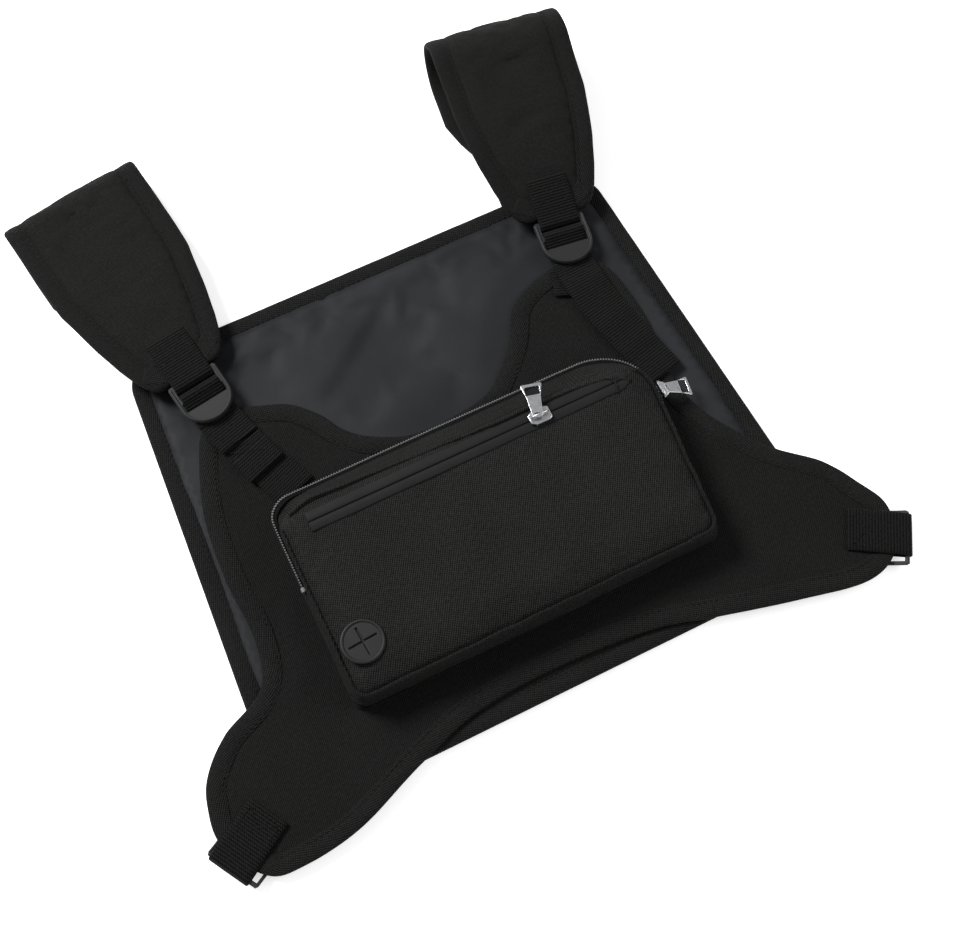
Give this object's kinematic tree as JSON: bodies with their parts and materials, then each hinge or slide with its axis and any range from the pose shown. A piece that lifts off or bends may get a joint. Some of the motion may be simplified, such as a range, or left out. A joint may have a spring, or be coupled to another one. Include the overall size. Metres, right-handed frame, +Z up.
{
  "type": "chest rig vest",
  "caption": "Soft vest laid flat: bound padded back panel, winged front panel with zipped pocket, looped shoulder straps on ladder locks, side loops with rings.",
  "frame": {"origin": "centre of the back panel's flat underside, where the garment lies on the table", "axes": "+X across the garment towards the right-hand strap as seen from above, +Y up the garment from hem to shoulder straps, +Z up from the table"},
  "size_m": [0.4308, 0.4277, 0.0476],
  "materials": {
    "canvas": "matt black woven nylon twill",
    "lining": "smooth slate coated cloth",
    "binding": "woven edge tape",
    "webbing": "ribbed nylon webbing",
    "strap_cloth": "matt black woven nylon twill",
    "foam": "closed-cell foam",
    "lock_plastic": "moulded black acetal, satin",
    "zip_metal": "plated die-cast zinc",
    "zip_teeth": "moulded dark grey zip teeth",
    "zip_tape": "coated zip tape",
    "port_rubber": "soft moulded rubber"
  },
  "bodies": {
    "back_panel": {"back_panel_shell": "canvas", "back_panel_foam": "foam", "back_panel_lining": "lining", "back_panel_binding": "binding", "strap_left_back_cover": "strap_cloth", "strap_left_back_foam": "foam", "strap_left_back_binding": "binding", "strap_left_fold": "strap_cloth", "strap_right_back_cover": "strap_cloth", "strap_right_back_foam": "foam", "strap_right_back_binding": "binding", "strap_right_fold": "strap_cloth"},
    "front_assembly": {"front_panel_lining": "lining", "front_panel_canvas": "canvas", "front_panel_binding": "binding", "pocket_gusset": "canvas", "pocket_front": "canvas", "pocket_divider": "lining", "earphone_port": "port_rubber", "main_zip_tape": "zip_tape", "main_zip_teeth": "zip_teeth", "front_zip_tape": "zip_tape", "front_zip_coil": "zip_teeth", "strap_left_front_cover": "strap_cloth", "strap_left_front_foam": "foam", "strap_left_front_binding": "binding", "strap_left_tab": "webbing", "adjuster_anchor_left": "webbing", "adjuster_tail_left": "webbing", "side_loop_left": "webbing", "strap_right_front_cover": "strap_cloth", "strap_right_front_foam": "foam", "strap_right_front_binding": "binding", "strap_right_tab": "webbing", "adjuster_anchor_right": "webbing", "adjuster_tail_right": "webbing", "side_loop_right": "webbing"},
    "ladder_lock_left": {"ladder_lock_left": "lock_plastic", "adjuster_loop_left": "webbing"},
    "side_ring_left": {"side_ring_left": "lock_plastic"},
    "ladder_lock_right": {"ladder_lock_right": "lock_plastic", "adjuster_loop_right": "webbing"},
    "side_ring_right": {"side_ring_right": "lock_plastic"},
    "front_zip_slider": {"front_zip_slider": "zip_metal"},
    "front_zip_pull": {"front_zip_pull": "zip_metal"},
    "main_zip_slider": {"main_zip_slider": "zip_metal"},
    "main_zip_pull": {"main_zip_pull": "zip_metal"}
  },
  "joints": [
    {"name": "shoulder_fold", "type": "hinge", "parent": "back_panel", "child": "front_assembly", "pos_m": [0, 0.246, 0.0184], "axis": [-1, 0, 0], "range_deg": [0, 150], "deforming": ["strap_left_fold", "strap_right_fold"]},
    {"name": "ladder_lock_left_tilt", "type": "hinge", "parent": "front_assembly", "child": "ladder_lock_left", "pos_m": [-0.12009, 0.11363, 0.01401], "axis": [-0.9877, -0.1564, 0], "range_deg": [0, 12]},
    {"name": "ladder_lock_right_tilt", "type": "hinge", "parent": "front_assembly", "child": "ladder_lock_right", "pos_m": [0.11932, 0.11374, 0.01324], "axis": [-0.9914, 0.1305, 0], "range_deg": [0, 12]},
    {"name": "front_zip_slide", "type": "slide", "parent": "front_assembly", "child": "front_zip_slider", "axis": [1, 0, 0], "range_m": [-0.1335, 0.03]},
    {"name": "front_zip_pull_flip", "type": "hinge", "parent": "front_zip_slider", "child": "front_zip_pull", "pos_m": [0.0451, -0.0036, 0.0385], "axis": [1, 0, 0], "range_deg": [0, 175]},
    {"name": "main_zip_slide", "type": "hinge", "parent": "front_assembly", "child": "main_zip_slider", "pos_m": [0.08105, -0.0145, 0.02], "axis": [0, 0, 1], "range_deg": [0, 80]},
    {"name": "main_zip_pull_flip", "type": "hinge", "parent": "main_zip_slider", "child": "main_zip_pull", "pos_m": [0.12265, -0.0145, 0.02], "axis": [0, -1, 0], "range_deg": [0, 130]},
    {"name": "side_ring_left_swing", "type": "hinge", "parent": "front_assembly", "child": "side_ring_left", "pos_m": [-0.20619, -0.14962, 0.0066], "axis": [-0.515, 0.8572, 0], "range_deg": [0, 150]},
    {"name": "side_ring_right_swing", "type": "hinge", "parent": "front_assembly", "child": "side_ring_right", "pos_m": [0.20619, -0.14962, 0.0066], "axis": [-0.515, -0.8572, 0], "range_deg": [0, 150]}
  ]
}
